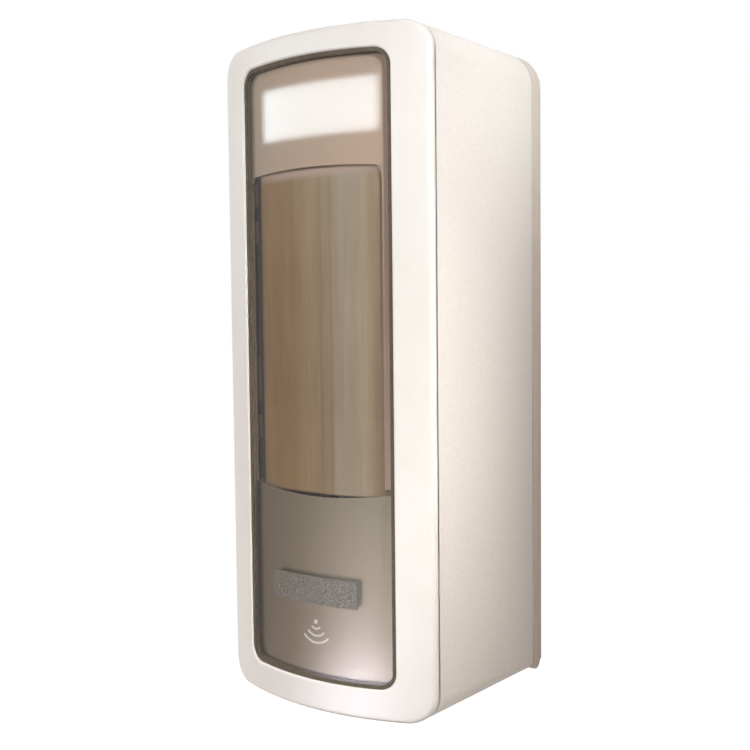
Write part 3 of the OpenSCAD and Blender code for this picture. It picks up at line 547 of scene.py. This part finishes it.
# Object from a grid of points in mm, one face between four neighbours. Rows may close on themselves
# (closeRows), the last row may join the first (closeEnds), and the first and last row may be filled
# by a face (caps).
def gridObject(name, points, material, closeRows=False, closeEnds=False, caps=False):
    index = np.arange(points.shape[0] * points.shape[1]).reshape(points.shape[:2])
    near, far = (index, np.roll(index, -1, 0)) if closeEnds else (index[:-1], index[1:])
    if closeRows:
        quads = np.stack([near, np.roll(near, -1, 1), np.roll(far, -1, 1), far], -1)
    else:
        quads = np.stack([near[:, :-1], near[:, 1:], far[:, 1:], far[:, :-1]], -1)
    faces = quads.reshape(-1, 4).tolist()
    if caps:
        faces += [index[0][::-1].tolist(), index[-1].tolist()]
    mesh = bpy.data.meshes.new(name)
    mesh.from_pydata((points.reshape(-1, 3) * mm).tolist(), [], faces)
    mesh.materials.append(material)
    obj = bpy.data.objects.new(name, mesh)
    scene.collection.objects.link(obj)
    return obj


def outward(obj):
    work = bmesh.new()
    work.from_mesh(obj.data)
    bmesh.ops.recalc_face_normals(work, faces=work.faces)
    work.to_mesh(obj.data)
    work.free()


def smoothFaces(obj):
    obj.data.polygons.foreach_set("use_smooth", np.ones(len(obj.data.polygons), bool))


# A closed piece that rides on a body, with its faces outwards and its smooth shading.
def closedPiece(name, points, body, finish, closeEnds=False, caps=False):
    obj = gridObject(name, points, finishes[finish], True, closeEnds, caps)
    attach(obj, body)
    outward(obj)
    smoothFaces(obj)
    addShade(obj)
    return obj


# Front bezel. The foot's points are (drawn in from the side, ahead of the seam). The tongue lies
# between two such insets and reaches back to its own depth.
bezel = {
    "edge": 1.6, "edgeRows": 7, "lip": 1.1, "lipRows": 6, "lipStart": 0.4, "faceRows": 14,
    "sideRows": (0.5, 0.9), "wall": 3.0, "leastCorner": 1.5, "seam": 91.5,
    "foot": ((0.0, 0.4), (0.15, 0.1), (0.5, 0.0)), "tongue": (2.75, 4.6), "tongueDepth": 86.9,
}


# Closed profile carried round the window: inner wall, lip rounding (a quarter circle), crowned face,
# edge rounding (a quarter circle), side, foot, tongue and back. The face runs straight from lip to
# edge and is lifted onto the crown.
def bezelSurface(look):
    halfWide, halfTall, bow = housing["halfWide"], housing["halfTall"], housing["bow"]
    wide, low, high, corner = housing["window"]
    quarter = math.pi / 2

    def outer(inset):
        radius = max(housing["corner"] - inset, look["leastCorner"])
        return roundedOutline(halfWide - inset, inset - halfTall, halfTall - inset, radius, bow)

    def inner(grow):
        return roundedOutline(wide + grow, low - grow, high + grow, corner + grow, bow)

    rows = []

    def addRow(outline, depth):
        rows.append(np.stack([outline[:, 0], depth, outline[:, 1]], 1))

    base = inner(0)
    for inset in (look["wall"], look["wall"] + (look["lip"] - look["wall"]) * look["lipStart"]):
        addRow(base, crownY(base[:, 0], inset))
    for turn in np.linspace(0, quarter, look["lipRows"]):
        ring = inner(look["lip"] * (1 - math.cos(turn)))
        addRow(ring, crownY(ring[:, 0], look["lip"] * (1 - math.sin(turn))))
    start, end = inner(look["lip"]), outer(look["edge"])
    for share in np.linspace(0, 1, look["faceRows"])[1:-1]:
        ring = start + (end - start) * share
        addRow(ring, crownY(ring[:, 0]))
    for turn in np.linspace(0, quarter, look["edgeRows"]):
        ring = outer(look["edge"] * (1 - math.sin(turn)))
        addRow(ring, crownY(ring[:, 0], look["edge"] * (1 - math.cos(turn))))
    side = outer(0)
    front = crownY(side[:, 0], look["edge"])
    rise = look["foot"][0][1]
    for share in look["sideRows"]:
        addRow(side, front + (rise - look["seam"] - front) * share)
    profile = [(inset, look["seam"] + ahead) for inset, ahead in look["foot"]]
    depths = [look["seam"], look["tongueDepth"]]
    for inset, ends in zip(look["tongue"], (depths, depths[::-1])):
        profile += [(inset, depth) for depth in ends]
    profile.append((look["wall"], look["seam"] + rise))
    for inset, depth in profile:
        ring = outer(inset)
        addRow(ring, np.full(len(ring), -depth))
    back = outer(look["wall"])
    addRow(back, crownY(back[:, 0], look["wall"]))
    return np.stack(rows)


bezelPiece = closedPiece("bezelSkin", bezelSurface(bezel), "cover", "bezelWhite", closeEnds=True)
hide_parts("front_bezel")

# Screw posts behind the bezel: blind tubes, each a profile of (radius, depth) turned round the axis
# of its screw.
posts = {"outer": 3.2, "inner": 1.2, "headRadius": 2.6, "tipGap": 2.2, "length": 11.9, "end": 2.0,
         "sides": 28}
screwLow, screwHigh = (np.array(c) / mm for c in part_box("bezel_screws"))


def postSurface(look, x, z):
    front = look["tipGap"] - screwLow[1]
    back, floor = front - look["length"], front - look["end"]
    profile = np.array([(look["outer"], front), (look["outer"], back),
                        (look["inner"], back), (look["inner"], floor)])
    turn = np.linspace(0, 2 * math.pi, look["sides"], endpoint=False)
    radius, depth = profile[:, :1], profile[:, 1:]
    return np.stack([x + radius * np.cos(turn), -depth + 0 * turn, z + radius * np.sin(turn)], -1)


postX = screwHigh[0] - posts["headRadius"]
postLow, postHigh = screwLow[2] + posts["headRadius"], screwHigh[2] - posts["headRadius"]
for side, x in (("Left", -postX), ("Right", postX)):
    for level, z in (("Low", postLow), ("High", postHigh)):
        points = postSurface(posts, x, z)
        post = closedPiece("bezelPost" + level + side, points, "cover", "bezelWhite", caps=True)
print("bezel made")

# Smoked panel; face is how far its front lies behind the bezel's crown.
panel = {"face": 1.2, "thick": 2.0, "halfWide": 38.4, "low": -130.7, "high": 133.7, "corner": 5.9,
         "cols": 72, "rows": 40}


# Sheet: x runs across, closer set towards the sides. z runs between a lower and an upper outline,
# each with a quarter circle at its corners and a bow that grows as x squared. y follows the crown.
def panelSurface(look):
    halfWide, corner = look["halfWide"], look["corner"]
    x = halfWide * np.sin(np.linspace(-math.pi / 2, math.pi / 2, look["cols"]))
    into = np.clip(np.abs(x) - (halfWide - corner), 0, corner)
    cut = corner - np.sqrt(np.maximum(corner ** 2 - into ** 2, 0))
    cut += housing["bow"] * (np.abs(x) / halfWide) ** 2
    up = np.linspace(0, 1, look["rows"])[:, None]
    z = up * (look["high"] - look["low"] - 2 * cut) + look["low"] + cut
    across = np.broadcast_to(x, z.shape)
    return np.stack([across, crownY(across, look["face"]), z], -1)


panelPiece = gridObject("smokedSheet", panelSurface(panel), finishes["smokedPanel"])
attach(panelPiece, "cover")
smoothFaces(panelPiece)
thick = panelPiece.modifiers.new("thickness", "SOLIDIFY")
thick.thickness = panel["thick"] * mm
thick.offset = -1
addShade(panelPiece)  # after the thickness, so that the rim's shading stays crisp
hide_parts("front_panel")
print("panel made")

# Refill bottle; front and back are depths, and the fillings say how far the rows of its two ends
# lie towards the rim.
bottle = {
    "halfWide": 36.0, "front": 101.8, "back": 34.5, "corner": 4.0, "leastCorner": 2.5,
    "crownInset": 5.2, "low": -51.7, "high": 89.4, "shoulder": 1.4, "shoulderRows": 9, "rows": 30,
    "neck": 12.5, "neckWall": 2.0, "neckDepth": 60.0, "neckEnd": -64.0, "neckTop": 1.2,
    "lowFillings": (0.03, 0.4, 0.8), "highFillings": (0.7, 0.35, 0.05),
}


# Plan outline drawn in by inset, bent so that its front follows the crown, as rows of (x, y).
def bottlePlan(look, inset):
    mid = (look["front"] + look["back"]) / 2
    half = (look["front"] - look["back"]) / 2
    corner = max(look["corner"] - inset, look["leastCorner"])
    ring = roundedOutline(look["halfWide"] - inset, -(half - inset), half - inset, corner, 0)
    x, y = ring[:, 0], ring[:, 1] - mid
    ahead = np.clip((-y - look["back"]) / (2 * half), 0, 1)
    y = y + (crownY(x, look["crownInset"]) - crownY(0.0, look["crownInset"])) * ahead
    return np.stack([x, y], 1)


# Rings of the plan stacked upwards: the round neck, the flat bottom that spreads from it straight to
# the plan, a quarter circle, the walls, a quarter circle, and the flat top drawn in to its centre.
def bottleSurface(look):
    shoulder, quarter = look["shoulder"], math.pi / 2
    rows = []

    def addRow(plan, z):
        rows.append(np.stack([plan[:, 0], plan[:, 1], np.full(len(plan), z)], 1))

    base = bottlePlan(look, shoulder)
    neckCentre = np.array((0, -look["neckDepth"]))
    away = (base - neckCentre) / np.linalg.norm(base - neckCentre, axis=1)[:, None]
    ring = neckCentre + away * look["neck"]
    addRow(neckCentre + away * (look["neck"] - look["neckWall"]), look["neckEnd"])
    addRow(ring, look["neckEnd"])
    addRow(ring, look["low"] - look["neckTop"])
    for share in look["lowFillings"]:
        addRow(ring + (base - ring) * share, look["low"])
    for turn in np.linspace(0, quarter, look["shoulderRows"]):
        plan = bottlePlan(look, shoulder * (1 - math.sin(turn)))
        addRow(plan, look["low"] + shoulder * (1 - math.cos(turn)))
    for share in np.linspace(0, 1, look["rows"])[1:-1]:
        z = look["low"] + shoulder + (look["high"] - look["low"] - 2 * shoulder) * share
        addRow(bottlePlan(look, 0), z)
    for turn in np.linspace(0, quarter, look["shoulderRows"]):
        plan = bottlePlan(look, shoulder * (1 - math.cos(turn)))
        addRow(plan, look["high"] - shoulder * (1 - math.sin(turn)))
    centre = base.mean(0)
    for share in look["highFillings"]:
        addRow(centre + (base - centre) * share, look["high"])
    return np.stack(rows)


bottlePiece = closedPiece("refillBottle", bottleSurface(bottle), "chassis", "bottleAmber", caps=True)
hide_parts("refill_bottle")
print("bottle made")

# Springs, drawn as coils of round wire at rest; travel is the joint's range in mm.
springs = {
    "pumpCoil": {"node": "pump_spring", "wire": 0.6, "turns": 4, "perTurn": 48, "sides": 12,
                 "body": "chassis", "joint": "pump_stroke", "travel": 8.0, "fixedEnd": "top"},
    "latchCoil": {"node": "latch_spring", "wire": 0.35, "turns": 5, "perTurn": 48, "sides": 12,
                  "body": "cover", "joint": "latch_press", "travel": 3.0, "fixedEnd": "bottom"},
}


# Round wire of radius wire whose centre climbs evenly round a circle; both ends are closed.
def coilSurface(look, low, high):
    middle = (low + high) / 2
    radius = (high[0] - low[0]) / 2 - look["wire"]
    turn = np.linspace(0, 2 * math.pi * look["turns"], look["perTurn"] * look["turns"] + 1)[:, None]
    wrap = np.linspace(0, 2 * math.pi, look["sides"], endpoint=False)
    reach = radius + look["wire"] * np.cos(wrap)
    start, end = low[2] + look["wire"], high[2] - look["wire"]
    z = start + (end - start) * turn / turn[-1] + look["wire"] * np.sin(wrap)
    return np.stack([middle[0] + reach * np.cos(turn), middle[1] + reach * np.sin(turn), z], -1)


for name, look in springs.items():
    low, high = (np.array(c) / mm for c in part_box(look["node"]))
    points = coilSurface(look, low, high)
    coil = closedPiece(name, points, look["body"], "brushedSteel", caps=True)
    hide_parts(look["node"])
    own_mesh(coil)
print("springs made")

# Studio: floor, sky and lamps, in metres and watts. The beams are narrow lamps on the right, which
# shade the housing's side.
studio = {
    "floorZ": -0.42, "floorSize": 4.0, "floorColour": (0.48, 0.43, 0.38), "floorGlow": 0.96,
    "sky": 0.185, "skyColour": (1.0, 0.77, 0.61),
    "lamps": [
        {"name": "frontLamp", "place": (-0.318, -0.923, 0.198), "aim": (0, -0.08, 0),
         "size": (0.35, 0.35), "power": 1.27, "colour": (1, 0.99, 0.98), "shines": False},
        {"name": "frontLeftLamp", "place": (-0.546, -0.802, 0.198), "aim": (0, -0.08, 0),
         "size": (0.35, 0.35), "power": 1.26, "colour": (1, 0.99, 0.98), "shines": False},
        {"name": "leftLamp", "place": (-0.805, -0.515, 0.198), "aim": (0, -0.08, 0),
         "size": (0.35, 0.35), "power": 2.05, "colour": (1, 0.98, 0.96), "shines": False},
        {"name": "upperBeam", "place": (0.75, -0.45, 0.35), "aim": (0.056, -0.105, 0.10),
         "size": (0.1, 0.1), "power": 0.064, "spread": 20},
        {"name": "middleBeam", "place": (0.83, -0.24, 0.35), "aim": (0.056, -0.105, 0.01),
         "size": (0.1, 0.1), "power": 0.041, "spread": 16, "colour": (1, 0.95, 0.89)},
        {"name": "cornerBeam", "place": (0.75, -0.45, 0.35), "aim": (0.056, -0.02, 0.15),
         "size": (0.1, 0.1), "power": 0.034, "spread": 12},
        {"name": "lowerBeam", "place": (0.83, -0.24, 0.35), "aim": (0.056, -0.112, -0.09),
         "size": (0.1, 0.1), "power": 0.040, "spread": 16, "colour": (1, 0.95, 0.89)},
        {"name": "cornerFrontBeam", "place": (0.30, -0.90, 0.35), "aim": (0.056, -0.107, -0.10),
         "size": (0.1, 0.1), "power": 0.026, "spread": 14},
        {"name": "topLeftLamp", "place": (-0.35, -0.45, 0.8), "aim": (0, -0.07, 0.1),
         "size": (0.5, 0.5), "power": 0.62, "colour": (1, 0.98, 0.96), "shines": False},
        {"name": "lowLeftLamp", "place": (-0.30, -0.60, -0.37), "aim": (0, -0.08, -0.12),
         "size": (0.3, 0.3), "power": 0.095, "colour": (1, 0.97, 0.94), "shines": False},
        {"name": "backLamp", "place": (-0.70, 0.55, 0.45), "aim": (0, 0, 0), "size": (0.6, 0.6),
         "power": 3.4, "shines": False},
    ],
}


# 1 where a ray comes from the camera, a gloss or a clear sheet, so that these see a white surround.
def seenDirectly(tree):
    rays = tree.nodes.new("ShaderNodeLightPath")
    most = rays.outputs["Is Camera Ray"]
    for kind in ("Is Glossy Ray", "Is Transmission Ray"):
        most = mathOn(tree, "MAXIMUM", most, rays.outputs[kind])
    return most


def makeSky(look):
    world = bpy.data.worlds.new("studioSky")
    scene.world = world
    world.use_nodes = True
    tree = world.node_tree
    tree.nodes.clear()
    out = tree.nodes.new("ShaderNodeOutputWorld")
    soft = tree.nodes.new("ShaderNodeBackground")
    soft.inputs["Color"].default_value = (*look["skyColour"], 1)
    soft.inputs["Strength"].default_value = look["sky"]
    white = tree.nodes.new("ShaderNodeBackground")
    white.inputs["Color"].default_value = (1, 1, 1, 1)
    white.inputs["Strength"].default_value = 1.0
    either = mixOn(tree, seenDirectly(tree), soft.outputs[0], white.outputs[0])
    tree.links.new(either, out.inputs["Surface"])


def addOn(tree, first, second):
    both = tree.nodes.new("ShaderNodeAddShader")
    tree.links.new(first, both.inputs[0])
    tree.links.new(second, both.inputs[1])
    return both.outputs[0]


# Pale floor, a level square: it takes shadows as a matt surface, and shines white only where it is
# seen directly.
def makeFloor(look):
    pale, tree, surface = blankMaterial("paleFloor")
    matt = tree.nodes.new("ShaderNodeBsdfDiffuse")
    matt.inputs["Color"].default_value = (*look["floorColour"], 1)
    glow = tree.nodes.new("ShaderNodeEmission")
    glow.inputs["Strength"].default_value = look["floorGlow"]
    dark = tree.nodes.new("ShaderNodeEmission")
    dark.inputs["Strength"].default_value = 0.0
    shine = mixOn(tree, seenDirectly(tree), dark.outputs[0], glow.outputs[0])
    tree.links.new(addOn(tree, matt.outputs[0], shine), surface)
    reach = np.array((-look["floorSize"], look["floorSize"])) / mm
    across, along = np.meshgrid(reach, reach)
    corners = np.stack([across, along, np.full_like(across, look["floorZ"] / mm)], -1)
    floor = gridObject("studioFloor", corners, pale)


def makeLamps(look):
    for lamp in look["lamps"]:
        data = bpy.data.lights.new(lamp["name"], "AREA")
        data.shape = "RECTANGLE"
        data.size, data.size_y = lamp["size"]
        data.energy = lamp["power"]
        data.color = lamp.get("colour", (1, 1, 1))
        data.spread = math.radians(lamp.get("spread", 180))
        light = bpy.data.objects.new(lamp["name"], data)
        scene.collection.objects.link(light)
        light.location = lamp["place"]
        toward = Vector(lamp["aim"]) - Vector(lamp["place"])
        light.rotation_euler = toward.to_track_quat("-Z", "Y").to_euler()
        light.visible_camera = False
        light.visible_glossy = lamp.get("shines", True)


# Light cards that only gloss can see, which put two soft reflections on the panel. Each covers a
# patch of the panel's face (x and z in mm), and stands run metres off along the camera's line of
# sight mirrored there.
cards = {
    "stripCard": {"x": (-28.0, 36.0), "z": (100.4, 125.0), "run": 0.6, "grid": (32, 12),
                  "glow": 13.6, "fade": (0.05, 0.12), "colour": (0.755, 0.895, 1.0)},
    "lowCard": {"x": (-12.0, 58.0), "z": (-176.0, -113.0), "run": 0.5, "grid": (32, 12),
                "glow": 27.0, "fade": (0.5, 0.5), "colour": (0.78, 0.78, 1.0)},
}


# Each point of the patch, plus the run along the sight line less twice its part along the face's
# normal.
def mirroredPatch(look, eye):
    cols, rows = look["grid"]
    x, z = np.meshgrid(np.linspace(*look["x"], cols), np.linspace(*look["z"], rows))
    y = crownY(x, panel["face"])
    point = np.stack([x, y, z], -1) * mm
    normal = np.stack([x, y - crownCentre, np.zeros_like(x)], -1)
    normal /= housing["crownRadius"] - panel["face"]
    sight = point - np.array(eye)
    sight /= np.linalg.norm(sight, axis=-1, keepdims=True)
    away = sight - 2 * (sight * normal).sum(-1, keepdims=True) * normal
    return (point + away * look["run"]) / mm


# 1 inside and 0 at the rim, easing over the share of the width and height that fade gives.
def rimFade(look):
    shares = np.meshgrid(*(np.linspace(0, 1, count) for count in look["grid"]))
    across, up = (np.clip(np.minimum(share, 1 - share) / fade, 0, 1)
                  for share, fade in zip(shares, look["fade"]))
    inside = across * up
    return inside * inside * (3 - 2 * inside)


def makeCard(name, look, eye):
    finish, tree, surface = blankMaterial(name)
    glow = tree.nodes.new("ShaderNodeEmission")
    glow.inputs["Color"].default_value = (*look["colour"], 1)
    source = tree.nodes.new("ShaderNodeAttribute")
    source.attribute_name = "cardGlow"
    clear = tree.nodes.new("ShaderNodeBsdfTransparent")
    tree.links.new(rangeOn(tree, source.outputs["Fac"], 0.0, look["glow"]), glow.inputs["Strength"])
    tree.links.new(addOn(tree, glow.outputs[0], clear.outputs[0]), surface)
    card = gridObject(name, mirroredPatch(look, eye), finish)
    strength = card.data.attributes.new("cardGlow", "FLOAT", "POINT")
    strength.data.foreach_set("value", rimFade(look).ravel())
    card.visible_camera = card.visible_diffuse = False
    card.visible_shadow = card.visible_transmission = False


makeSky(studio)
makeFloor(studio)
makeLamps(studio)
for name, look in cards.items():
    makeCard(name, look, cameraSetup["place"])
scene.view_settings.view_transform = "Standard"
print("studio ready, lamps:", len(studio["lamps"]))
